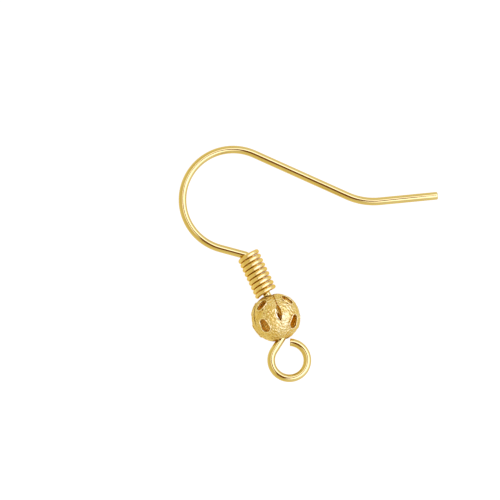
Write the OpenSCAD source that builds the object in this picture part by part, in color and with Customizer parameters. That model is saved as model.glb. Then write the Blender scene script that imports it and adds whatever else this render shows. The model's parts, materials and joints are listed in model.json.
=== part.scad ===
// French-hook ear wire with a wire coil and a pierced filigree ball, lying flat as it rests on a table.
// It is drawn standing first: X is across, Y runs up the shank, Z comes out of the plane of the wire,
// and the origin is on the shank's axis beside the middle of the ball. lay_down() then sets it down.

/* [Wire] */
// Diameter of the hook's round wire
wire_d = 0.64; // [0.5:0.02:0.8]
// Chamfer round the cut tip of the tail
tip_chamfer = 0.06; // [0.02:0.01:0.12]
// How much the wire's radius draws in where it is bent
bend_thinning = 0.003; // [0.002:0.001:0.01]
// Running gap between pieces that are threaded on the wire or meet it
gap = 0.04; // [0.03:0.01:0.06]

/* [Hook] */
// How far the wire kinks sideways where it leaves the coil, in degrees
kink_deg = 49.6; // [44:0.2:55]
// Centreline radius of the kink
kink_r = 0.8; // [0.5:0.1:1]
// Straight neck between kink and arch
neck_len = 2.04; // [1.6:0.02:4]
// Centreline radius of the arch that goes through the ear
arch_r = 4.17; // [3.4:0.01:5]
// Sweep of the arch, in degrees
arch_deg = 189.2; // [182:0.2:195]
// Straight leg behind the ear
leg_len = 8.38; // [6:0.02:12]
// Centreline radius of the soft bend between leg and tail
tail_bend_r = 5.2; // [3:0.1:7]
// How far the tail turns outwards from the leg, in degrees
tail_deg = 30; // [15:0.5:35]
// Straight tail, the end that goes into the ear first
tail_len = 4.8; // [3:0.1:7]

/* [Eye loop] */
// Clear inner diameter of the eye
eye_inner_d = 2.32; // [1.8:0.02:3.2]
// How far the wire turns aside inside the ball before it forms the eye, in degrees
exit_deg = 57.6; // [48:0.2:58]
// Centreline radius of that turn
exit_bend_r = 0.6; // [0.4:0.05:0.8]
// Sweep of the eye from where it starts to its cut end, in degrees
eye_deg = 300; // [285:1:304]
// How far the eye hangs aside of the ball's middle, seen from that middle, in degrees
eye_side_deg = 8; // [5:0.5:11]
// Gap between the eye and the edge of the hole in the ball
eye_gap = 0.04; // [0.03:0.01:0.1]

/* [Coil] */
// Diameter of the coil's thinner wire
coil_wire_d = 0.38; // [0.3:0.01:0.44]
// Number of turns
coil_turns = 8.5; // [5:0.5:11]
// Gap between one turn and the next
coil_turn_gap = 0.02; // [0.005:0.005:0.06]
// Loose space between shank and coil, on each side
coil_slack = 0.26; // [0.15:0.01:0.3]
// How far the coil can turn back on the shank before its top turn meets the kink, in degrees
coil_back_deg = 60; // [0:5:90]

/* [Filigree ball] */
// Outer diameter of the ball over its raised rims
ball_d = 4.1; // [3.6:0.1:5]
// Height of the raised rims over the skin
relief = 0.05; // [0.03:0.01:0.08]
// Thickness of the pressed skin
skin_t = 0.16; // [0.12:0.01:0.3]
// Diameter of the holes at both poles that the wire goes through
bore_d = 1.4; // [1.2:0.05:1.8]
// Sideways offset of the ball's middle from the shank
ball_offset = 0.15; // [0.1:0.01:0.25]
// Lean of the ball's bore from the shank, in degrees
ball_lean = 12.5; // [8:0.5:14]
// Number of petals that the skin is folded up from
petals = 5; // [4:1:6]
// Longitude of the front seam, right of the side that faces up, in degrees
seam_turn = 7; // [-20:1:30]

/* [Seams of the ball] */
// Width of the groove along each seam
seam_w = 0.06; // [0.04:0.01:0.1]
// Depth of that groove
seam_depth = 0.08; // [0.04:0.01:0.12]
// Greatest width of the slit that is left open in each seam
slit_w = 0.12; // [0.08:0.01:0.2]
// Length of that slit
slit_len = 1.9; // [1.4:0.05:2.2]
// Latitude of its middle, in degrees
slit_lat = 15; // [0:1:18]
// Greatest width where the front seam gapes
gape_w = 0.36; // [0.22:0.02:0.4]
// Length of the gaping stretch
gape_len = 1.4; // [1:0.05:1.8]
// Latitude of its middle, in degrees
gape_lat = 4; // [-5:1:10]

/* [Pierced petals] */
// Latitude of a petal's upper hole, in degrees
upper_lat = 34; // [33:1:38]
// Length of the upper hole
upper_len = 1.02; // [0.8:0.02:1.1]
// Width of the upper hole at its top end
upper_top_w = 0.62; // [0.4:0.02:0.7]
// Width of the upper hole at its bottom end
upper_bottom_w = 0.56; // [0.4:0.02:0.7]
// Latitude of a petal's lower hole, in degrees
lower_lat = -20; // [-23:1:-18]
// Length of the lower hole
lower_len = 1.16; // [0.9:0.02:1.2]
// Width of the lower hole at its top end
lower_top_w = 0.56; // [0.3:0.02:0.7]
// Width of the lower hole at its bottom end
lower_bottom_w = 0.78; // [0.5:0.02:0.8]
// Width of the raised rim round a hole
rim_w = 0.09; // [0.06:0.01:0.12]
// Number of round pits stamped between a petal's holes
pits = 3; // [2:1:4]
// Diameter of a pit
pit_d = 0.14; // [0.1:0.01:0.2]
// Depth of a pit
pit_depth = 0.08; // [0.05:0.01:0.14]
// Distance of the pits from the middle of their group
pit_ring_r = 0.24; // [0.14:0.01:0.24]
// Latitude of the middle of that group, in degrees
pit_lat = 7; // [6:1:8]

/* [Hidden] */

gold = [0.88, 0.72, 0.34];
pale_gold = [0.93, 0.8, 0.45];
warm_gold = [0.85, 0.66, 0.28];

// Fineness of the drawing
round_fn = 64;
ball_fn = 128;
coil_rings = 24;
coil_sides = 10;
sample_step = 3;

// How far a straight stretch of wire runs into the bends at its ends
lap = 0.02;

// How far the punches that shape the ball's skin reach past it
reach = 1;

// How far a hole's straight sides draw in from its round ends
side_draw = 0.003;

// Each row is one petal, from the one right of the front seam round to the one left of it: how far both
// holes lie right of its middle, how far the lower one drops, how far each leans to the left at the top,
// and how far the pits lie right of the petal's middle, all in degrees
SHIFT = 0;
DROP = 1;
UPPER_LEAN = 2;
LOWER_LEAN = 3;
PIT_SHIFT = 4;
petal_rows = [
    [3, 3, 28, -14, 0],
    [-8, 0, -10, 6, -8],
    [-3, 1, 16, -4, -1],
    [1, 2, -22, 8, 1],
    [-8, -2, -40, 5, 5],
];

wire_r = wire_d / 2;
ball_r = ball_d / 2;
bore_r = bore_d / 2;
skin_r = ball_r - relief;
inner_r = skin_r - skin_t;
eye_r = eye_inner_d / 2 + wire_r;

petal_deg = 360 / petals;
function petal_mid(i) = seam_turn + (i + 0.5) * petal_deg;

// The coil stands just clear of the ball and is threaded loosely on the shank
coil_wire_r = coil_wire_d / 2;
coil_r = wire_r + coil_slack + coil_wire_r;
coil_pitch = coil_wire_d + coil_turn_gap;
coil_foot = sqrt(pow(ball_r + coil_wire_r + gap, 2) - pow(coil_r - ball_offset, 2));
coil_top = coil_foot + coil_turns * coil_pitch;

// The coil ends opposite the kink, which clears its top turn as far as the coil can turn back
rim_y = coil_top - coil_pitch * (0.5 - coil_back_deg / 360);
kink_y = rim_y + (wire_r + coil_wire_r + gap - coil_r * cos(kink_deg)) / sin(kink_deg);
shank_up = kink_y - kink_r * tan(kink_deg / 2);

// The eye hangs so that it just clears the edge of the ball's lower hole
ball_mid = [-ball_offset, 0];
edge_deg = asin(bore_r / skin_r) - ball_lean + eye_side_deg;
eye_reach = eye_r + wire_r + eye_gap;
eye_drop = skin_r * cos(edge_deg) + sqrt(pow(eye_reach, 2) - pow(skin_r * sin(edge_deg), 2));
eye_mid = ball_mid - eye_drop * [sin(eye_side_deg), cos(eye_side_deg)];
exit_dir = [-sin(exit_deg), -cos(exit_deg)];
eye_start = eye_mid + eye_r * [exit_dir.y, -exit_dir.x];
exit_y = eye_start.y - eye_start.x / exit_dir.x * exit_dir.y;
exit_cut = exit_bend_r * tan(exit_deg / 2);
shank_down = -exit_y - exit_cut;
exit_len = eye_start.x / exit_dir.x - exit_cut;

// Each row is a straight stretch and the bend that ends it, where a left turn is positive
LEN = 0;
RADIUS = 1;
TURN = 2;
hook_rows = [
    [shank_down + shank_up, kink_r, kink_deg],
    [neck_len, arch_r, -arch_deg],
    [leg_len, tail_bend_r, tail_deg],
    [tail_len, 0, 0],
];
eye_rows = [
    [0, exit_bend_r, -exit_deg],
    [exit_len, eye_r, eye_deg],
];

// A station is a point on the centreline and its heading: [x, y, degrees]
function left_of(s) = [-sin(s[2]), cos(s[2])];
function ahead(s, l) = [s.x + l * cos(s[2]), s.y + l * sin(s[2]), s[2]];
function bend_mid(s, r, turn) = [s.x, s.y] + sign(turn) * r * left_of(s);
function bent(s, r, turn) =
    let (out = [0, 0, s[2] + turn], p = bend_mid(s, r, turn) - sign(turn) * r * left_of(out))
    [p.x, p.y, out[2]];
function next(s, row) = bent(ahead(s, row[LEN]), row[RADIUS], row[TURN]);
function after(s, rows, n, i = 0) = i == n ? s : after(next(s, rows[i]), rows, n, i + 1);
function samples(s, rows) = [
    for (i = [0 : len(rows) - 1])
        let (from = ahead(after(s, rows, i), rows[i][LEN]), steps = ceil(abs(rows[i][TURN]) / sample_step))
        for (k = [0 : steps])
            bent(from, rows[i][RADIUS], steps == 0 ? 0 : rows[i][TURN] * k / steps)
];

// Lying down, the wire touches the table at the arch and at the tip, and the ball touches it too
up_start = [0, -shank_down, 90];
down_start = [0, -shank_down, -90];
arch_mid = bend_mid(ahead(after(up_start, hook_rows, 1), neck_len), arch_r, -1);
tip = after(up_start, hook_rows, len(hook_rows));
tip_from_arch = [tip.x, tip.y] - arch_mid;
out_deg = atan2(tip_from_arch.y, tip_from_arch.x) + acos(arch_r / norm(tip_from_arch));
outwards = [cos(out_deg), sin(out_deg)];
contact_reach = arch_mid * outwards + arch_r;
tilt = asin((ball_r - wire_r) / (contact_reach - ball_mid * outwards));
tilt_axis = [-outwards.y, outwards.x];
table_z = wire_r + contact_reach * sin(tilt);

// Where a point of the centreline comes to lie, before the model is centred
function laid(p) =
    let (q = [p.x, p.y])
    q * cos(tilt) + (1 - cos(tilt)) * (tilt_axis * q) * tilt_axis;
route = concat(samples(up_start, hook_rows), samples(down_start, eye_rows));
x_low = min([for (s = route) laid(s).x - wire_r * abs(sin(s[2]))]);
x_high = max([for (s = route) laid(s).x + wire_r * abs(sin(s[2]))]);
y_low = min([for (s = route) laid(s).y - wire_r * abs(cos(s[2]))]);
y_high = max([for (s = route) laid(s).y + wire_r * abs(cos(s[2]))]);
centre = [x_low + x_high, y_low + y_high] / 2;

module lay_down() {
    translate([-centre.x, -centre.y, table_z])
        rotate(a = tilt, v = [tilt_axis.x, tilt_axis.y, 0])
            children();
}

// A straight stretch of wire up the Y axis, lapped into its bends, or chamfered where it is the cut tip
module straight(len, cut_tip) {
    chamfer = cut_tip ? tip_chamfer : 0;
    top = cut_tip ? len : len + lap;
    rotate([-90, 0, 0])
        rotate_extrude($fn = round_fn)
            polygon([[0, -lap], [wire_r, -lap], [wire_r, top - chamfer],
                [wire_r - chamfer, top], [0, top]]);
}

// A bend that starts up the Y axis and turns left or right of it
module bend(radius, turn) {
    side = sign(turn);
    translate([-side * radius, 0, 0])
        rotate([0, 0, side > 0 ? 0 : 180 + turn])
            rotate_extrude(angle = abs(turn), $fn = round_fn * 2)
                translate([radius, 0])
                    circle(r = wire_r - bend_thinning, $fn = round_fn);
}

// Moves to the end of such a bend, with the wire's heading along Y again
module past_bend(radius, turn) {
    side = sign(turn);
    translate([-side * radius, 0, 0])
        rotate([0, 0, turn])
            translate([side * radius, 0, 0])
                children();
}

// One continuous wire along rows of straights and bends
module bent_wire(rows, i = 0) {
    if (i < len(rows)) {
        row = rows[i];
        if (row[LEN] > 0)
            straight(row[LEN], row[TURN] == 0);
        if (row[TURN] != 0)
            translate([0, row[LEN], 0]) {
                bend(row[RADIUS], row[TURN]);
                past_bend(row[RADIUS], row[TURN])
                    bent_wire(rows, i + 1);
            }
    }
}

module ear_hook() {
    color(gold)
        lay_down()
            translate([0, -shank_down, 0]) {
                bent_wire(hook_rows);
                rotate([0, 0, 180])
                    bent_wire(eye_rows);
            }
}

// A right-handed spring swept along its helix: a ring of points for each step, closed at both ends
module coil() {
    steps = round(coil_turns * coil_rings);
    slope = atan(coil_pitch / (2 * PI * coil_r));
    points = [
        for (i = [0 : steps])
            let (
                a = 360 * (i - steps) / coil_rings,
                outward = [cos(a), 0, -sin(a)],
                along = [-sin(a), 0, -cos(a)],
                across = cos(slope) * [0, 1, 0] - sin(slope) * along,
                mid = coil_r * outward + [0, coil_foot + coil_pitch * i / coil_rings, 0]
            )
            for (j = [0 : coil_sides - 1])
                let (b = 360 * j / coil_sides)
                mid + coil_wire_r * (cos(b) * outward + sin(b) * across)
    ];
    walls = [
        for (i = [0 : steps - 1])
            for (j = [0 : coil_sides - 1])
                let (k = (j + 1) % coil_sides, low = i * coil_sides, high = low + coil_sides)
                [low + j, low + k, high + k, high + j]
    ];
    first_cap = [for (j = [coil_sides - 1 : -1 : 0]) j];
    last_cap = [for (j = [0 : coil_sides - 1]) steps * coil_sides + j];
    color(pale_gold)
        lay_down()
            polyhedron(points = points, faces = concat([first_cap], walls, [last_cap]), convexity = 10);
}

// An egg-shaped outline, len long over both round ends, grown all round
module egg(len, top_w, bottom_w, grow = 0) {
    top_r = top_w / 2;
    bottom_r = bottom_w / 2;
    top_y = len / 2 - top_r;
    bottom_y = bottom_r - len / 2;
    taper = asin((top_r - bottom_r) / (top_y - bottom_y));
    side_dir = [cos(taper), -sin(taper)];
    top = [0, top_y] + (top_r + grow - side_draw) * side_dir;
    bottom = [0, bottom_y] + (bottom_r + grow - side_draw) * side_dir;
    translate([0, top_y])
        circle(r = top_r + grow, $fn = round_fn);
    translate([0, bottom_y])
        circle(r = bottom_r + grow, $fn = round_fn);
    polygon([top, [-top.x, top.y], [-bottom.x, bottom.y], bottom]);
}

// The pointed outline between two equal arcs
module lens(len, w) {
    bow_r = (pow(len / 2, 2) + pow(w / 2, 2)) / w;
    intersection() {
        translate([bow_r - w / 2, 0])
            circle(r = bow_r, $fn = ball_fn);
        translate([w / 2 - bow_r, 0])
            circle(r = bow_r, $fn = ball_fn);
    }
}

// Turns what is drawn in XY to face outwards at a place on the ball, with Y towards the upper pole
module at_place(longitude, latitude, lean = 0) {
    rotate([0, 0, longitude])
        rotate([0, 90 - latitude, 0])
            rotate([0, 0, 90 + lean])
                children();
}

// Punches through both holes of each petal, grown all round for their raised rims
module hole_punches(grow) {
    for (i = [0 : petals - 1]) {
        row = petal_rows[i % len(petal_rows)];
        longitude = petal_mid(i) + row[SHIFT];
        at_place(longitude, upper_lat, row[UPPER_LEAN])
            linear_extrude(height = ball_r + reach)
                egg(upper_len, upper_top_w, upper_bottom_w, grow);
        at_place(longitude, lower_lat - row[DROP], row[LOWER_LEAN])
            linear_extrude(height = ball_r + reach)
                egg(lower_len, lower_top_w, lower_bottom_w, grow);
    }
}

module pit_punches() {
    for (i = [0 : petals - 1], k = [0 : pits - 1])
        at_place(petal_mid(i) + petal_rows[i % len(petal_rows)][PIT_SHIFT], pit_lat)
            rotate([0, 0, 360 * k / pits])
                translate([0, -pit_ring_r, skin_r - pit_depth])
                    cylinder(h = reach, d = pit_d, $fn = round_fn);
}

// The groove of a seam from pole to pole, and the slit that is left open in it
module seam_cut(i) {
    rotate([0, 0, seam_turn + i * petal_deg])
        difference() {
            translate([0, -seam_w / 2, -ball_r])
                cube([ball_r + reach, seam_w, ball_d]);
            sphere(r = skin_r - seam_depth, $fn = ball_fn);
        }
    at_place(seam_turn + i * petal_deg, slit_lat)
        linear_extrude(height = ball_r + reach)
            lens(slit_len, slit_w);
}

module front_gape() {
    at_place(seam_turn, gape_lat)
        linear_extrude(height = ball_r + reach)
            lens(gape_len, gape_w);
}

// The ball about its own bore, which runs along Z, with longitude 0 towards X
module pierced_ball() {
    difference() {
        union() {
            sphere(r = skin_r, $fn = ball_fn);
            intersection() {
                sphere(r = ball_r, $fn = ball_fn);
                hole_punches(rim_w);
            }
        }
        sphere(r = inner_r, $fn = ball_fn);
        cylinder(h = ball_d + reach, r = bore_r, center = true, $fn = round_fn);
        hole_punches(0);
        pit_punches();
        for (i = [0 : petals - 1])
            seam_cut(i);
        front_gape();
    }
}

// Longitude 0 faces up when the ear wire lies on the table
module filigree_ball() {
    color(warm_gold)
        lay_down()
            translate([ball_mid.x, ball_mid.y, 0])
                rotate([0, 0, -ball_lean])
                    rotate([-90, 0, 0])
                        rotate([0, 0, -90])
                            pierced_ball();
}

ear_hook();
coil();
filigree_ball();
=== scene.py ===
"""A gold French-hook ear wire with a wire coil and a pierced filigree ball, lying on a pale table."""
import json
import math

import bpy
from mathutils import Matrix, Vector


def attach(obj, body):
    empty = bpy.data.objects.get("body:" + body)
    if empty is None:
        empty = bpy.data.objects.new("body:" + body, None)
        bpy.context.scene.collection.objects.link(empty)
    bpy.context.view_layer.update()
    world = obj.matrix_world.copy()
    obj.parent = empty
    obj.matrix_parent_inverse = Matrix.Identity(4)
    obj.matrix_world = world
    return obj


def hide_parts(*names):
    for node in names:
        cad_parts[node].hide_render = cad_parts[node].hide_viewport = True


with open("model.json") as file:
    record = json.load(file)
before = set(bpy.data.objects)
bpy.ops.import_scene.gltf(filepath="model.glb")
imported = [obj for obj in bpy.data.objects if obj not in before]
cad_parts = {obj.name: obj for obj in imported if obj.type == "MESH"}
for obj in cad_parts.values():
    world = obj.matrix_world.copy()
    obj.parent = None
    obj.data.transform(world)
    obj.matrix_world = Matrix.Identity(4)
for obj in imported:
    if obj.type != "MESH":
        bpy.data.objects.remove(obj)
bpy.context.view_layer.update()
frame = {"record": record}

MM = 0.001
# Points nearer to each other than this are merged
WELD = 0.0001 * MM

# The round wire that the hook is bent from, and how much thinner it is drawn, to stay in the solid's box
WIRE_R = 0.32 * MM
DRAWN_THINNER = 0.005 * MM
WIRE_SIDES = 48
DEGREES_A_STEP = 3.0
# The room between the loose pieces on the wire
GAP = 0.04 * MM
TIP_ROUNDING = 0.1 * MM
CUT_ROUNDING = 0.03 * MM
CUT_SEGMENTS = 4
# How near the end of a wire the middle of its cut face lies
AT_THE_CUT = 0.1 * WIRE_R
# Edges that turn by more than this stay sharp, in degrees
WIRE_CREASE = 35.0
SKIN_CREASE = 30.0

# The hook, from where it leaves the coil to the tip of the tail, with its bends in degrees
KINK_R = 0.8 * MM
KINK = 49.6
NECK = 2.04 * MM
ARCH_R = 4.17 * MM
ARCH = 189.2
LEG = 8.38 * MM
TAIL_BEND_R = 5.2 * MM
TAIL_BEND = 30.0
TAIL = 4.8 * MM

# The eye loop below the ball, and how far it is swung to its side, in degrees
EXIT_BEND_R = 0.6 * MM
EXIT = 57.6
EYE_R = 1.48 * MM
EYE = 300.0
EYE_SIDE = 8.0

# The coil of thinner wire round the shank, and how far it can turn back below the kink, in degrees
COIL_WIRE_R = 0.19 * MM
COIL_R = 0.77 * MM
COIL_PITCH = 0.4 * MM
COIL_TURNS = 8.5
COIL_BACK = 60.0
COIL_WIRE_SIDES = 28
COIL_STEPS_A_TURN = 56

# The filigree ball, pressed from thin sheet and pierced
SKIN_R = 2.0 * MM
SKIN_T = 0.16 * MM
SKIN_SEGMENTS = 240
HOLLOW_SEGMENTS = 96
RIM_HEIGHT = 0.05 * MM
RIM_W = 0.12 * MM
BORE_R = 0.7 * MM
BORE_DEPTH = 3 * SKIN_R
BORE_SIDES = 96
# How far its middle lies beside the shank, and how far its bore leans from it, in degrees
BALL_OFFSET = 0.15 * MM
BALL_LEAN = 12.5
PETALS = 5
SEAM_TURN = 7.0
GROOVE_R = 0.045 * MM
GROOVE_DROP = 0.03 * MM
GROOVE_SIDES = 8
GROOVE_STEPS = 60
# A round bead is shaped on a sphere with this many segments
LAST_SEGMENTS = 160
BEAD_ROUNDNESS = 3
# Latitude, length, width at the top and width at the bottom
UPPER_HOLE = (34.0, 1.02 * MM, 0.62 * MM, 0.56 * MM)
LOWER_HOLE = (-20.0, 1.16 * MM, 0.56 * MM, 0.78 * MM)
EGG_SIDES = 50
# Latitude, length and width
SLIT = (15.0, 1.9 * MM, 0.12 * MM)
GAPE = (4.0, 1.4 * MM, 0.42 * MM)
# A lens is a circle squeezed lengthwise, whose points past this share of its length are drawn out again
LENS_SIDES = 48
LENS_SQUEEZE = 0.94
LENS_TIP = 0.469
# The gape's sides are ragged, except past this share of its length
RAGGED = 0.02 * MM
RAGGED_SPAN = 0.46
RAGGED_SEED = 4
# The burr keeps to the left of this share of the gape's width and below this share of its length
BURR_W = 0.15 * MM
BURR_RIGHT = -0.2
BURR_TOP = 0.3
# Each petal: its holes' shift to the right, the lower one's drop, the lean to the left of the upper and of
# the lower one, and the pits' shift to the right, in degrees
PETAL_ROWS = (
    (3, 3, 28, -14, 0),
    (-8, 0, -10, 6, -8),
    (-3, 1, 16, -4, -1),
    (1, 2, -22, 8, 1),
    (-8, -2, -40, 5, 5),
)
PIT_R = 0.07 * MM
PIT_DEPTH = 0.08 * MM
PIT_RING_R = 0.24 * MM
PIT_LAT = 7.0
PIT_SEGMENTS = 20
PITS = 3
# How far hammering dents the skin, and how far apart the dents are
DENT_DEPTH = 0.045 * MM
DENT_SPACING = 0.22 * MM


def coil_foot():
    """How high over the ball's middle the coil stands just clear of the ball."""
    reach = SKIN_R + RIM_HEIGHT + COIL_WIRE_R + GAP
    return math.sqrt(reach ** 2 - (COIL_R - BALL_OFFSET) ** 2)


def wire_runs():
    """The wire as it runs up to the tip and down to the eye, from beside the ball's middle.

    A run is a straight length, the radius of the bend after it and the degrees that it turns to the left.
    The kink clears the coil's top turn, and the eye hangs just clear of the ball's lower hole.
    """
    kink = math.radians(KINK)
    rim = coil_foot() + COIL_PITCH * (COIL_TURNS - 0.5 + COIL_BACK / 360)
    kink_height = rim + (WIRE_R + COIL_WIRE_R + GAP - COIL_R * math.cos(kink)) / math.sin(kink)
    shank_up = kink_height - KINK_R * math.tan(kink / 2)

    side = math.radians(EYE_SIDE)
    edge = math.asin(BORE_R / SKIN_R) - math.radians(BALL_LEAN) + side
    below_edge = math.sqrt((EYE_R + WIRE_R + GAP) ** 2 - (SKIN_R * math.sin(edge)) ** 2)
    eye_drop = SKIN_R * math.cos(edge) + below_edge
    eye_mid = Vector((-BALL_OFFSET - eye_drop * math.sin(side), -eye_drop * math.cos(side)))
    out = math.radians(EXIT)
    heading = Vector((-math.sin(out), -math.cos(out)))
    eye_start = eye_mid + EYE_R * Vector((heading.y, -heading.x))
    exit_cut = EXIT_BEND_R * math.tan(out / 2)
    shank_down = eye_start.x / heading.x * heading.y - eye_start.y - exit_cut
    exit_run = eye_start.x / heading.x - exit_cut
    up = (
        (shank_down + shank_up, KINK_R, KINK),
        (NECK, ARCH_R, -ARCH),
        (LEG, TAIL_BEND_R, TAIL_BEND),
        (TAIL, 0.0, 0.0),
    )
    down = (
        (0.0, EXIT_BEND_R, -EXIT),
        (exit_run, EYE_R, EYE),
    )
    return up, down, shank_down


def lying_frames():
    """Where the wire's own frame and the ball's come to lie on the table.

    The wire's has X across, Y up the shank and Z out of the wire's plane. The ball's has X
    out of the side that faces up, and Z up its bore.
    """
    joints = {j["name"]: j for j in frame["record"]["behaviour"]["joints"]}
    mounts = {m["name"]: m for m in frame["record"]["mounts"]}
    up = Vector(joints["coil_turn"]["axis"]).normalized()
    out = Vector(mounts["eye"]["axis"]).normalized()
    across = up.cross(out)
    ball_mid = Vector(joints["ball_spin"]["pos_m"])
    bore = Vector(joints["ball_spin"]["axis"]).normalized()
    wire = Matrix((across, up, out)).transposed().to_4x4()
    wire.translation = ball_mid + across * BALL_OFFSET
    ball = Matrix((out, bore.cross(out), bore)).transposed().to_4x4()
    ball.translation = ball_mid
    return wire, ball


WIRE_FRAME, BALL_FRAME = lying_frames()


# The bench

def put_all_down():
    bpy.ops.object.select_all(action="DESELECT")


def take(piece):
    put_all_down()
    piece.select_set(True)
    bpy.context.view_layer.objects.active = piece


def named(name):
    """Names the piece just made, and its mesh."""
    piece = bpy.context.object
    piece.name = piece.data.name = name
    return piece


def lay(piece, place):
    """Moves the piece's mesh to its place, with its object left at the origin."""
    take(piece)
    piece.matrix_world = place
    bpy.ops.object.transform_apply(location=True, rotation=True, scale=True)
    return piece


def pick(piece, wanted):
    """Opens the piece with just the vertices picked that are wanted."""
    take(piece)
    bpy.ops.object.mode_set(mode="EDIT")
    bpy.ops.mesh.select_mode(type="VERT")
    bpy.ops.mesh.select_all(action="DESELECT")
    bpy.ops.object.mode_set(mode="OBJECT")
    for v in piece.data.vertices:
        v.select = wanted(v.co)
    bpy.ops.object.mode_set(mode="EDIT")


def face_outwards():
    """Turns all faces of the opened piece outwards."""
    bpy.ops.mesh.select_all(action="SELECT")
    bpy.ops.mesh.normals_make_consistent(inside=False)


def put_back():
    bpy.ops.object.mode_set(mode="OBJECT")


def finish_with(piece, kind, **settings):
    """Adds a modifier and applies it."""
    take(piece)
    tool = piece.modifiers.new(kind.lower(), kind)
    for name, value in settings.items():
        setattr(tool, name, value)
    bpy.ops.object.modifier_apply(modifier=tool.name)


def cut(piece, tool, how="DIFFERENCE"):
    """Cuts the piece with a tool, or adds the tool to it, and clears the tool away."""
    finish_with(piece, "BOOLEAN", operation=how, object=tool, solver="EXACT")
    take(tool)
    bpy.ops.object.delete()


def weld(piece):
    """Merges points that lie on each other, and turns all faces outwards."""
    pick(piece, lambda co: True)
    bpy.ops.mesh.remove_doubles(threshold=WELD)
    face_outwards()
    put_back()


def one_of(pieces, name):
    """Joins several pieces in one."""
    put_all_down()
    for p in pieces:
        p.select_set(True)
    bpy.context.view_layer.objects.active = pieces[0]
    bpy.ops.object.join()
    return named(name)


def smooth(piece, degrees=WIRE_CREASE):
    take(piece)
    bpy.ops.object.shade_smooth_by_angle(angle=math.radians(degrees))


def round_loop(name, sides, radius, place, filled=True, turn=(0, 0, 0)):
    """A round plate to start from, or only its edge where it isn't filled."""
    put_all_down()
    fill = "NGON" if filled else "NOTHING"
    bpy.ops.mesh.primitive_circle_add(vertices=sides, radius=radius, fill_type=fill, location=place,
                                      rotation=turn)
    loop = named(name)
    bpy.ops.object.transform_apply(location=True, rotation=True, scale=True)
    return loop


def round_ball(name, segments, radius, place=(0, 0, 0)):
    """A sphere to start from, with half as many rings as segments."""
    put_all_down()
    rings = segments // 2
    bpy.ops.mesh.primitive_uv_sphere_add(segments=segments, ring_count=rings, radius=radius, location=place)
    return named(name)


# The hook

def along(point, heading, length, radius, turn):
    """Where a run of wire ends, and which way it heads then."""
    a = math.radians(heading)
    point = point + Vector((math.cos(a), math.sin(a), 0)) * length
    if turn:
        side = math.copysign(radius, turn)
        mid = point + Vector((-math.sin(a), math.cos(a), 0)) * side
        b = math.radians(heading + turn)
        point = mid - Vector((-math.sin(b), math.cos(b), 0)) * side
    return point, heading + turn


def draw_wire(name, point, heading, runs):
    """A round wire drawn from its cut end along its runs."""
    facing = (math.pi / 2, 0, math.radians(heading) + math.pi / 2)
    wire = round_loop(name, WIRE_SIDES, WIRE_R - DRAWN_THINNER, point, turn=facing)
    bpy.ops.object.mode_set(mode="EDIT")
    bpy.ops.mesh.select_all(action="SELECT")
    for length, radius, turn in runs:
        a = math.radians(heading)
        if length:
            step = Vector((math.cos(a), math.sin(a), 0)) * length
            bpy.ops.mesh.extrude_region_move(TRANSFORM_OT_translate={"value": step})
        if turn:
            start = point + Vector((math.cos(a), math.sin(a), 0)) * length
            mid = start + Vector((-math.sin(a), math.cos(a), 0)) * math.copysign(radius, turn)
            steps = round(abs(turn) / DEGREES_A_STEP)
            bpy.ops.mesh.spin(steps=steps, angle=-math.radians(turn), center=mid, axis=(0, 0, 1))
        point, heading = along(point, heading, length, radius, turn)
    put_back()
    return wire, point


def round_the_cut(piece, at, width):
    """Breaks the sharp edge round a cut end of wire, whose face has more corners than any other."""
    pick(piece, lambda co: False)
    put_back()
    for face in piece.data.polygons:
        face.select = len(face.vertices) > 4 and (face.center - at).length < AT_THE_CUT
    bpy.ops.object.mode_set(mode="EDIT")
    bpy.ops.mesh.select_mode(type="FACE")
    bpy.ops.mesh.region_to_loop()
    bpy.ops.mesh.bevel(offset=width, segments=CUT_SEGMENTS, profile=0.5, affect="EDGES")
    put_back()


def follow_the_wire(piece, sides):
    """Notes on each point of a drawn wire where it is round the wire and how far along, for drawn lines."""
    rings = len(piece.data.vertices) // sides
    middles = []
    for k in range(rings):
        ring = [piece.data.vertices[k * sides + j].co for j in range(sides)]
        middles.append(sum(ring, Vector()) / sides)
    lengths = [0.0]
    for before, after in zip(middles, middles[1:]):
        lengths.append(lengths[-1] + (after - before).length)
    grain = piece.data.attributes.new("grain", "FLOAT_VECTOR", "POINT")
    for k in range(rings):
        for j in range(sides):
            a = 2 * math.pi * j / sides
            grain.data[k * sides + j].vector = (math.cos(a), math.sin(a), lengths[k] / MM)


def make_hook():
    up, down, shank_down = wire_runs()
    point, heading = Vector((0, -shank_down, 0)), -90.0
    for run in down:
        point, heading = along(point, heading, *run)
    cut_end = point.copy()
    # The wire is drawn from the eye's cut end, so the way down is gone back the other way round
    runs, straight = [], 0.0
    for length, radius, turn in reversed(down):
        runs.append((straight, radius, -turn))
        straight = length
    shank, kink_r, kink = up[0]
    runs.append((straight + shank, kink_r, kink))
    runs.extend(up[1:])
    hook, tip = draw_wire("hook_wire", point, heading + 180.0, runs)
    weld(hook)
    follow_the_wire(hook, WIRE_SIDES)
    round_the_cut(hook, tip, TIP_ROUNDING)
    round_the_cut(hook, cut_end, CUT_ROUNDING)
    smooth(hook)
    return lay(hook, WIRE_FRAME)


# The coil

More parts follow.
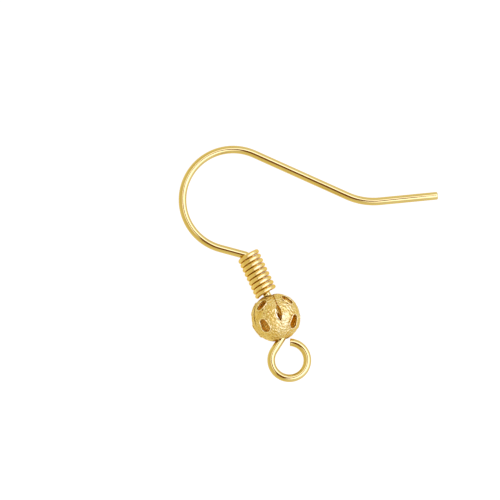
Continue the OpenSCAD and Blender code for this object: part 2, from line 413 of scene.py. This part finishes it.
def make_coil():
    foot = coil_foot()
    height = COIL_PITCH * COIL_TURNS
    start = Vector((-COIL_R, foot, 0))
    end = Vector((COIL_R, foot + height, 0))
    coil = round_loop("coil_wire", COIL_WIRE_SIDES, COIL_WIRE_R, start, filled=False)
    steps = round(COIL_STEPS_A_TURN * COIL_TURNS)
    finish_with(coil, "SCREW", axis="Y", angle=math.radians(360 * COIL_TURNS), screw_offset=height,
                steps=steps, render_steps=steps, use_merge_vertices=False, use_smooth_shade=False)
    pick(coil, lambda co: True)
    bpy.ops.mesh.fill_holes(sides=0)
    face_outwards()
    put_back()
    follow_the_wire(coil, COIL_WIRE_SIDES)
    for cut_end in (start, end):
        round_the_cut(coil, cut_end, CUT_ROUNDING)
    smooth(coil)
    return lay(coil, WIRE_FRAME)


# The filigree ball, about its own bore

def place_on_ball(longitude, latitude, lean=0.0):
    """A place over the skin, with Z out of the ball and Y up it, leaned to the left."""
    round_the_bore = Matrix.Rotation(math.radians(longitude), 4, "Z")
    down_the_side = Matrix.Rotation(math.radians(90 - latitude), 4, "Y")
    leaned = Matrix.Rotation(math.radians(90 + lean), 4, "Z")
    return round_the_bore @ down_the_side @ leaned


def petal_mid(i):
    return SEAM_TURN + (i + 0.5) * 360 / PETALS


def egg_outline(length, top_w, bottom_w, grow, height, filled):
    """A loop or plate with two round ends of their own widths, at a height over the ball's middle."""
    r = bottom_w / 2 + grow
    egg = round_loop("egg", EGG_SIDES, r, (0, 0, height), filled)
    pick(egg, lambda co: co.y > 0)
    ratio = (top_w / 2 + grow) / r
    bpy.ops.transform.resize(value=(ratio, ratio, 1), center_override=(0, 0, height))
    bpy.ops.transform.translate(value=(0, length / 2 - top_w / 2, 0))
    put_back()
    pick(egg, lambda co: co.y < 0)
    bpy.ops.transform.translate(value=(0, bottom_w / 2 - length / 2, 0))
    put_back()
    return egg


def through(plate, depth):
    """Draws a plate out into a punch."""
    take(plate)
    bpy.ops.object.mode_set(mode="EDIT")
    bpy.ops.mesh.select_all(action="SELECT")
    bpy.ops.mesh.extrude_region_move(TRANSFORM_OT_translate={"value": (0, 0, depth)})
    face_outwards()
    put_back()
    return plate


def holes():
    """Each hole's shape and where it sits: upper and lower hole of every petal."""
    for i, (shift, drop, upper_lean, lower_lean, _) in enumerate(PETAL_ROWS):
        for hole, down, lean in ((UPPER_HOLE, 0, upper_lean), (LOWER_HOLE, drop, lower_lean)):
            yield hole[1:], place_on_ball(petal_mid(i) + shift, hole[0] - down, lean)


def bead_along(path, width, top):
    """A round bead that follows a path round the ball, with its top at the given radius."""
    last = round_ball("bead_last", LAST_SEGMENTS, top - width / 2)
    finish_with(path, "SHRINKWRAP", target=last, wrap_method="NEAREST_SURFACEPOINT")
    take(last)
    bpy.ops.object.delete()
    take(path)
    bpy.ops.object.convert(target="CURVE")
    path.data.bevel_depth = width / 2
    path.data.bevel_resolution = BEAD_ROUNDNESS
    path.data.use_fill_caps = True
    bpy.ops.object.convert(target="MESH")
    weld(bpy.context.object)
    return bpy.context.object


def rolled_rims():
    """The raised rims round all the holes."""
    rims = [lay(egg_outline(*shape, RIM_W / 2, SKIN_R, False), place) for shape, place in holes()]
    return bead_along(one_of(rims, "rims"), RIM_W, SKIN_R + RIM_HEIGHT)


def lens_outline(length, width, height, filled):
    """A loop or plate with two pointed ends, at a height over the ball's middle."""
    lens = round_loop("lens", LENS_SIDES, length / 2, (0, 0, height), filled)
    pick(lens, lambda co: True)
    bpy.ops.transform.resize(value=(width / length, LENS_SQUEEZE, 1), center_override=(0, 0, height))
    put_back()
    pick(lens, lambda co: abs(co.y) > length * LENS_TIP)
    bpy.ops.transform.resize(value=(1, 1 / LENS_SQUEEZE, 1), center_override=(0, 0, height))
    put_back()
    return lens


def burr():
    """The edge left standing along the left side of the gape."""
    latitude, length, width = GAPE
    edge = lens_outline(length, width + BURR_W, SKIN_R, False)
    pick(edge, lambda co: co.x > BURR_RIGHT * width or co.y > BURR_TOP * length)
    bpy.ops.mesh.delete(type="VERT")
    put_back()
    return bead_along(lay(edge, place_on_ball(SEAM_TURN, latitude)), BURR_W, SKIN_R)


def lens_punch(latitude, length, width, longitude, ragged=0.0):
    """A punch for a slit, or for the gape with its ragged sides."""
    lens = lens_outline(length, width, SKIN_R / 2, True)
    if ragged:
        pick(lens, lambda co: abs(co.y) < length * RAGGED_SPAN)
        bpy.ops.transform.vertex_random(offset=ragged, uniform=0.0, normal=0.0, seed=RAGGED_SEED)
        put_back()
    return lay(through(lens, SKIN_R), place_on_ball(longitude, latitude))


def hammered_shell():
    """A hollow sphere whose outer skin is dented all over."""
    shell = round_ball("filigree_skin", SKIN_SEGMENTS, SKIN_R)
    dents = bpy.data.textures.new("dents", "CLOUDS")
    dents.noise_scale = DENT_SPACING
    dents.noise_depth = 1
    finish_with(shell, "DISPLACE", texture=dents, texture_coords="LOCAL", mid_level=1.0, strength=DENT_DEPTH)
    cut(shell, round_ball("hollow", HOLLOW_SEGMENTS, SKIN_R - SKIN_T))
    return shell


def stamped_pits():
    """Three small pits in a ring between the two holes of every petal."""
    pits = []
    for i, (*_, shift) in enumerate(PETAL_ROWS):
        for k in range(PITS):
            pit = round_ball("pit", PIT_SEGMENTS, PIT_R, (0, 0, SKIN_R + PIT_R - PIT_DEPTH))
            bpy.ops.object.transform_apply(location=True, rotation=True, scale=True)
            pick(pit, lambda co: True)
            bpy.ops.transform.translate(value=(0, -PIT_RING_R, 0))
            put_back()
            turn = Matrix.Rotation(math.tau * k / PITS, 4, "Z")
            pits.append(lay(pit, place_on_ball(petal_mid(i) + shift, PIT_LAT) @ turn))
    return one_of(pits, "pits")


def seam_groove(longitude):
    """Half a ring from pole to pole, set low so that the groove runs out towards the lower pole."""
    groove = round_loop("groove", GROOVE_SIDES, GROOVE_R, (0, 0, -SKIN_R), turn=(0, math.pi / 2, 0))
    bpy.ops.object.mode_set(mode="EDIT")
    bpy.ops.mesh.select_all(action="SELECT")
    bpy.ops.mesh.spin(steps=GROOVE_STEPS, angle=math.pi, center=(0, 0, 0), axis=(0, 1, 0))
    face_outwards()
    put_back()
    lowered = Matrix.Translation((0, 0, -GROOVE_DROP))
    return lay(groove, lowered @ Matrix.Rotation(math.radians(longitude), 4, "Z"))


def hole_punches():
    """A punch for every hole, in one piece."""
    punches = []
    for shape, place in holes():
        plate = egg_outline(*shape, 0.0, SKIN_R / 2, True)
        punches.append(lay(through(plate, SKIN_R), place))
    return one_of(punches, "hole_punches")


def make_ball():
    ball = hammered_shell()
    cut(ball, rolled_rims(), "UNION")
    cut(ball, burr(), "UNION")
    cut(ball, hole_punches())
    put_all_down()
    bpy.ops.mesh.primitive_cylinder_add(vertices=BORE_SIDES, radius=BORE_R, depth=BORE_DEPTH)
    cut(ball, named("bore"))
    cut(ball, stamped_pits())
    seams = [SEAM_TURN + i * 360 / PETALS for i in range(PETALS)]
    cut(ball, one_of([lens_punch(*SLIT, seam) for seam in seams], "slits"))
    cut(ball, lens_punch(*GAPE, SEAM_TURN, ragged=RAGGED))
    for seam in seams:
        cut(ball, seam_groove(seam))
    smooth(ball, SKIN_CREASE)
    return lay(ball, BALL_FRAME)


hook = make_hook()
coil = make_coil()
ball = make_ball()


# Looks

FLOAT, COLOR, VECTOR = "NodeSocketFloat", "NodeSocketColor", "NodeSocketVector"

# The tint that gold takes where it is seen at a slant
GLANCING_TINT = (1.0, 0.85, 0.5, 1.0)
# Where in the noise a cloud of thick plating starts and is full, and the same for the bloom that dulls it
CLOUDS = (0.35, 0.65)
CLOUD_DETAIL = 3.0
BLOOM = (0.4, 0.7)
BLOOM_DETAIL = 5.0
BLOOM_FINER = 4.0
# The lines that the drawing die leaves: how much they are stretched along the wire, and how deep they are
LINE_STRETCH = 0.04
LINE_DETAIL = 4.0
LINE_DEPTH = 0.0008 * MM

HOOK_THIN = (0.7, 0.518, 0.134, 1)
HOOK_THICK = (0.655, 0.47, 0.112, 1)
COIL_THIN = (0.77, 0.555, 0.16, 1)
COIL_THICK = (0.72, 0.5, 0.115, 1)
PALE_GOLD = (0.75, 0.57, 0.18, 1)
DEEP_GOLD = (0.7, 0.46, 0.085, 1)
# Painted reflection: the ball's inner surfaces get a deeper orange gold that stands in for light bounced
# about inside it
INNER_BOUNCE_GOLD = (0.9, 0.57, 0.07, 1)
# Painted highlight: a paler gold for the crests of the rims, which are also glossy from wear
RIM_HIGHLIGHT_GOLD = (0.84, 0.66, 0.24, 1)
# Painted highlight: a pale gold for the lip beside the gape, standing in for the light that it catches
LIP_HIGHLIGHT_GOLD = (0.95, 0.85, 0.42, 1)

# How deep under the ball's skin each of these starts and is full, less than nothing being over the skin
OUTSIDE = (0.08 * MM, 0.03 * MM)
RUBBED_AND_HIGHLIGHT = (-0.1 * RIM_HEIGHT, -0.9 * RIM_HEIGHT)
CREST = (0.012 * MM, 0.002 * MM)
# How far from the left of the gape the painted highlight on its lip ends and is full, in mm
LIP_HIGHLIGHT_REACH = (0.8, 0.7)
BALL_CLOUD = 0.6
BALL_POLISHED = 0.24
BALL_DULLED = 0.46
RUBBED_ROUGHNESS = 0.22
# The hammering: dimples and grit to each mm, how soft the dimples are, the grit's share, and the depth
DIMPLES_A_MM = 5.5
DIMPLE_SOFTNESS = 0.6
GRIT_A_MM = 8.0
GRIT_DETAIL = 3.0
GRIT_SHARE = 0.6
HAMMER_DEPTH = 0.09 * MM


def add_node(tree, kind, inputs=(), **settings):
    """A node with its settings, and its inputs given by name or number as values or as sockets."""
    new = tree.nodes.new(kind)
    for name, value in settings.items():
        setattr(new, name, value)
    for key, value in dict(inputs).items():
        if isinstance(value, bpy.types.NodeSocket):
            tree.links.new(value, new.inputs[key])
        else:
            new.inputs[key].default_value = value
    return new


def reckon(tree, how, *values):
    """A number worked out from others."""
    return add_node(tree, "ShaderNodeMath", dict(enumerate(values)), operation=how).outputs[0]


def measure(tree, how, *places):
    """A number measured on one place or between two."""
    return add_node(tree, "ShaderNodeVectorMath", dict(enumerate(places)), operation=how).outputs["Value"]


def ramp(tree, value, start, end, **settings):
    """0 at the start, 1 at the end."""
    ends = {"Value": value, "From Min": start, "From Max": end}
    return add_node(tree, "ShaderNodeMapRange", ends, **settings).outputs[0]


def noise(tree, place, scale, detail):
    inputs = {"Vector": place, "Scale": scale, "Detail": detail}
    return add_node(tree, "ShaderNodeTexNoise", inputs).outputs[0]


def blend(tree, amount, under, over):
    """One colour over another, by an amount from 0 to 1."""
    return add_node(tree, "ShaderNodeMix", {0: amount, 6: under, 7: over}, data_type="RGBA").outputs[2]


def effect(name, inputs, outputs):
    """An empty shader node group with named inputs (kind, value) and outputs (kind)."""
    tree = bpy.data.node_groups.new(name, "ShaderNodeTree")
    for label, (kind, value) in inputs.items():
        socket = tree.interface.new_socket(label, in_out="INPUT", socket_type=kind)
        if value is not None:
            socket.default_value = value
    for label, kind in outputs.items():
        tree.interface.new_socket(label, in_out="OUTPUT", socket_type=kind)
    return tree, tree.nodes.new("NodeGroupInput").outputs


def put_out(tree, sockets):
    end = tree.nodes.new("NodeGroupOutput")
    for name, socket in sockets.items():
        tree.links.new(socket, end.inputs[name])


def use(tree, group, inputs):
    return add_node(tree, "ShaderNodeGroup", inputs, node_tree=group).outputs


def plating_group():
    """Gold plating that is thicker and redder in clouds, with a bloom that dulls it here and there."""
    tree, given = effect(
        "plating",
        {"Place": (VECTOR, None), "Cloud Size": (FLOAT, 1.0), "Thin": (COLOR, None), "Thick": (COLOR, None),
         "Polished": (FLOAT, 0.1), "Dulled": (FLOAT, 0.25)},
        {"Color": COLOR, "Roughness": FLOAT},
    )
    finer = reckon(tree, "DIVIDE", 1.0, given["Cloud Size"])
    clouds = noise(tree, given["Place"], finer, CLOUD_DETAIL)
    tone = blend(tree, ramp(tree, clouds, *CLOUDS), given["Thin"], given["Thick"])
    finest = reckon(tree, "MULTIPLY", finer, BLOOM_FINER)
    bloom = noise(tree, given["Place"], finest, BLOOM_DETAIL)
    dull = add_node(tree, "ShaderNodeMapRange", {
        "Value": bloom, "From Min": BLOOM[0], "From Max": BLOOM[1],
        "To Min": given["Polished"], "To Max": given["Dulled"]}).outputs[0]
    put_out(tree, {"Color": tone, "Roughness": dull})
    return tree


def drawn_lines_group():
    """Fine lines that the drawing die leaves along a wire, read from where each point is round the wire."""
    tree, given = effect(
        "drawn_lines",
        {"Grain": (VECTOR, None), "Fineness": (FLOAT, 6.0)},
        {"Height": FLOAT},
    )
    stretch = (1.0, 1.0, LINE_STRETCH)
    stretched = add_node(tree, "ShaderNodeMapping", {"Vector": given["Grain"], "Scale": stretch}).outputs[0]
    put_out(tree, {"Height": noise(tree, stretched, given["Fineness"], LINE_DETAIL)})
    return tree


plating = plating_group()
drawn_lines = drawn_lines_group()


def bare_metal(name):
    """A metal without its colour and finish yet, and the place on its piece in mm."""
    mat = bpy.data.materials.new(name)
    mat.use_nodes = True
    tree = mat.node_tree
    metal = tree.nodes["Principled BSDF"]
    metal.inputs["Metallic"].default_value = 1.0
    metal.inputs["Specular Tint"].default_value = GLANCING_TINT
    place = add_node(tree, "ShaderNodeTexCoord").outputs["Object"]
    to_mm = {"Vector": place, "Scale": (1 / MM, 1 / MM, 1 / MM)}
    return mat, tree, metal, add_node(tree, "ShaderNodeMapping", to_mm).outputs[0]


def finish_metal(tree, metal, color, roughness, height, depth):
    """Gives the metal its colour, its roughness and a relief of a depth."""
    bump = add_node(tree, "ShaderNodeBump", {"Height": height, "Distance": depth})
    tree.links.new(color, metal.inputs["Base Color"])
    tree.links.new(roughness, metal.inputs["Roughness"])
    tree.links.new(bump.outputs[0], metal.inputs["Normal"])


def wire_gold(name, thin, thick, cloud_mm, polished, dulled):
    """Plated wire with the fine lines of its drawing."""
    mat, tree, metal, in_mm = bare_metal(name)
    skin = use(tree, plating, {"Place": in_mm, "Cloud Size": cloud_mm, "Thin": thin, "Thick": thick,
                               "Polished": polished, "Dulled": dulled})
    grain = add_node(tree, "ShaderNodeAttribute", attribute_name="grain").outputs["Vector"]
    lines = use(tree, drawn_lines, {"Grain": grain})
    finish_metal(tree, metal, skin["Color"], skin["Roughness"], lines["Height"], LINE_DEPTH)
    return mat


def pressed_gold(name):
    """Plated sheet: hammered, glossy from wear on its rims and painted paler on their crests as a highlight,
    glossy with a painted highlight along the lip beside the gape, and painted a deeper orange inside as
    reflected light.
    """
    mat, tree, metal, in_mm = bare_metal(name)
    middle = BALL_FRAME.translation / MM
    from_middle = add_node(tree, "ShaderNodeVectorMath", {0: in_mm, 1: middle},
                           operation="SUBTRACT").outputs[0]
    radius = measure(tree, "LENGTH", from_middle)
    skin = use(tree, plating, {"Place": in_mm, "Cloud Size": BALL_CLOUD,
                               "Thin": PALE_GOLD, "Thick": DEEP_GOLD,
                               "Polished": BALL_POLISHED, "Dulled": BALL_DULLED})

    def by_depth(start, end):
        return ramp(tree, radius, (SKIN_R - start) / MM, (SKIN_R - end) / MM)

    outside = by_depth(*OUTSIDE)
    # The rims' crests, glossy from wear and painted paler as a highlight
    rubbed_and_highlight = by_depth(*RUBBED_AND_HIGHLIGHT)
    # A painted highlight along the lip at the gape's left: pale gold on its crest near there, which is also
    # glossy
    latitude, _, width = GAPE
    gape_left = place_on_ball(SEAM_TURN, latitude) @ Vector((-width / 2, 0, SKIN_R))
    gape_left = BALL_FRAME.to_3x3() @ gape_left / MM
    near_gape = ramp(tree, measure(tree, "DISTANCE", from_middle, gape_left), *LIP_HIGHLIGHT_REACH)
    lip_highlight = reckon(tree, "MULTIPLY", near_gape, by_depth(*CREST))
    # Under the outer skin the inside takes its painted reflection colour
    tone = blend(tree, outside, INNER_BOUNCE_GOLD, skin["Color"])
    # The rims' crests are painted a paler gold as a highlight
    tone = blend(tree, rubbed_and_highlight, tone, RIM_HIGHLIGHT_GOLD)
    # The lip beside the gape takes its painted highlight colour
    tone = blend(tree, lip_highlight, tone, LIP_HIGHLIGHT_GOLD)
    bright = reckon(tree, "MAXIMUM", rubbed_and_highlight, lip_highlight)
    gloss = add_node(tree, "ShaderNodeMix", {0: bright, 2: skin["Roughness"], 3: RUBBED_ROUGHNESS},
                     data_type="FLOAT").outputs[0]
    dimples = add_node(tree, "ShaderNodeTexVoronoi", {
        "Vector": from_middle, "Scale": DIMPLES_A_MM, "Smoothness": DIMPLE_SOFTNESS},
        feature="SMOOTH_F1").outputs["Distance"]
    grit = noise(tree, from_middle, GRIT_A_MM, GRIT_DETAIL)
    hammered = reckon(tree, "MULTIPLY_ADD", grit, GRIT_SHARE, dimples)
    finish_metal(tree, metal, tone, gloss, reckon(tree, "MULTIPLY", hammered, outside), HAMMER_DEPTH)
    return mat


hook_plating = wire_gold("hook_plating", HOOK_THIN, HOOK_THICK, cloud_mm=2.5, polished=0.05, dulled=0.1)
coil_plating = wire_gold("coil_plating", COIL_THIN, COIL_THICK, cloud_mm=1.2, polished=0.06, dulled=0.13)
ball_plating = pressed_gold("ball_plating")

for piece, body, node, slot, mat in (
    (hook, "hook", "ear_hook", "hook_gold", hook_plating),
    (coil, "coil", "coil", "coil_gold", coil_plating),
    (ball, "ball", "filigree_ball", "ball_gold", ball_plating),
):
    piece.data.materials.clear()
    piece.data.materials.append(mat)
    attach(piece, body)
    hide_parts(node)


# Table, a white paper that glows a little so that it shows as white as in the photograph

TABLE_W = 4.0
PAPER_COLOR = (0.06, 0.06, 0.06, 1)
PAPER_ROUGHNESS = 0.9
GLOW_COLOR = (1, 1, 1, 1)
GLOW = 0.96

put_all_down()
bpy.ops.mesh.primitive_plane_add(size=TABLE_W)
table = named("table")
paper = bpy.data.materials.new("table_paper")
paper.use_nodes = True
sheet = paper.node_tree.nodes["Principled BSDF"]
sheet.inputs["Base Color"].default_value = PAPER_COLOR
sheet.inputs["Roughness"].default_value = PAPER_ROUGHNESS
sheet.inputs["Emission Color"].default_value = GLOW_COLOR
sheet.inputs["Emission Strength"].default_value = GLOW
table.data.materials.append(paper)


# Camera, looking straight down
# The photograph's turn, width and scale, and where the ball's middle stands in it, in pixels

PHOTO_ROLL = math.radians(25.26)
PHOTO_W = 500
PX_PER_MM = 12.2
BALL_X = 275.75
BALL_Y = 317.4
FOCUS_HEIGHT = 1.2 * MM
LENS = 400.0
SENSOR = 36.0
UP = Vector((0, 0, 1))

up_in_photo = Vector((math.sin(PHOTO_ROLL), math.cos(PHOTO_ROLL), 0))
right_in_photo = up_in_photo.cross(UP)
frame_w = PHOTO_W / PX_PER_MM * MM
look_at = BALL_FRAME.translation.copy()
look_at += (right_in_photo * (PHOTO_W / 2 - BALL_X) + up_in_photo * (BALL_Y - PHOTO_W / 2)) / PX_PER_MM * MM
look_at.z = FOCUS_HEIGHT
cam = bpy.data.cameras.new("photo_camera")
cam.lens = LENS
cam.sensor_width = SENSOR
camera = bpy.data.objects.new("photo_camera", cam)
bpy.context.scene.collection.objects.link(camera)
camera.matrix_world = Matrix((right_in_photo, up_in_photo, UP)).transposed().to_4x4()
camera.location = look_at + UP * frame_w * LENS / SENSOR
bpy.context.scene.camera = camera


# Studio: a white tent, lighter and cooler at the right, with a big soft window there and a narrow dark
# slot overhead. A place in the tent is given by its azimuth, left about from the photo's right, and its
# height, in degrees

TENT_LEFT = (0.94, 0.91, 0.82, 1)
TENT_RIGHT = (1.08, 1.25, 2.6, 1)
# How far to the right the tent starts to get lighter, and where it is lightest, as shares of the whole way
TENT_TURN = (-0.3, 0.9)
WINDOW_COLOR = (2.3, 2.6, 5.8, 1)
WINDOW_AZIMUTH = 14.0
WINDOW_HEIGHT = 61.0
WINDOW_INNER = 37.0
WINDOW_OUTER = 43.0
SLOT_COLOR = (0.24, 0.1, 0.02, 1)
SLOT_AZIMUTH = 235.0
SLOT_FROM = -27.0
SLOT_TO = 23.0
SLOT_HALF_W = 7.0
SLOT_EDGE = 3.0


def toward(azimuth, height):
    a, h = math.radians(azimuth), math.radians(height)
    return (right_in_photo * math.cos(a) + up_in_photo * math.sin(a)) * math.cos(h) + UP * math.sin(h)


def light_the_studio():
    world = bpy.data.worlds.new("studio")
    world.use_nodes = True
    tree = world.node_tree
    ray = add_node(tree, "ShaderNodeTexCoord").outputs["Generated"]

    def part(direction):
        return measure(tree, "DOT_PRODUCT", ray, direction)

    def lean(direction):
        return reckon(tree, "ARCTAN2", part(direction), part(UP))

    def soft(value, start, end):
        return ramp(tree, value, start, end, interpolation_type="SMOOTHSTEP")

    def degrees(value, start, end):
        return soft(value, math.radians(start), math.radians(end))

    window = soft(part(toward(WINDOW_AZIMUTH, WINDOW_HEIGHT)), math.cos(math.radians(WINDOW_OUTER)),
                  math.cos(math.radians(WINDOW_INNER)))
    outwards = lean(toward(SLOT_AZIMUTH, 0))
    sideways = reckon(tree, "ABSOLUTE", lean(toward(SLOT_AZIMUTH + 90, 0)))
    near_end = degrees(outwards, SLOT_FROM - SLOT_EDGE, SLOT_FROM)
    far_end = degrees(outwards, SLOT_TO + SLOT_EDGE, SLOT_TO)
    along_slot = reckon(tree, "MULTIPLY", near_end, far_end)
    across_slot = degrees(sideways, SLOT_HALF_W + SLOT_EDGE, SLOT_HALF_W)
    slot = reckon(tree, "MULTIPLY", along_slot, across_slot)
    rightward = ramp(tree, part(right_in_photo), *TENT_TURN)
    light = TENT_LEFT
    for amount, color in ((rightward, TENT_RIGHT), (window, WINDOW_COLOR), (slot, SLOT_COLOR)):
        light = blend(tree, amount, light, color)
    tree.links.new(light, tree.nodes["Background"].inputs["Color"])
    bpy.context.scene.world = world


light_the_studio()
bpy.context.scene.view_settings.view_transform = "Standard"
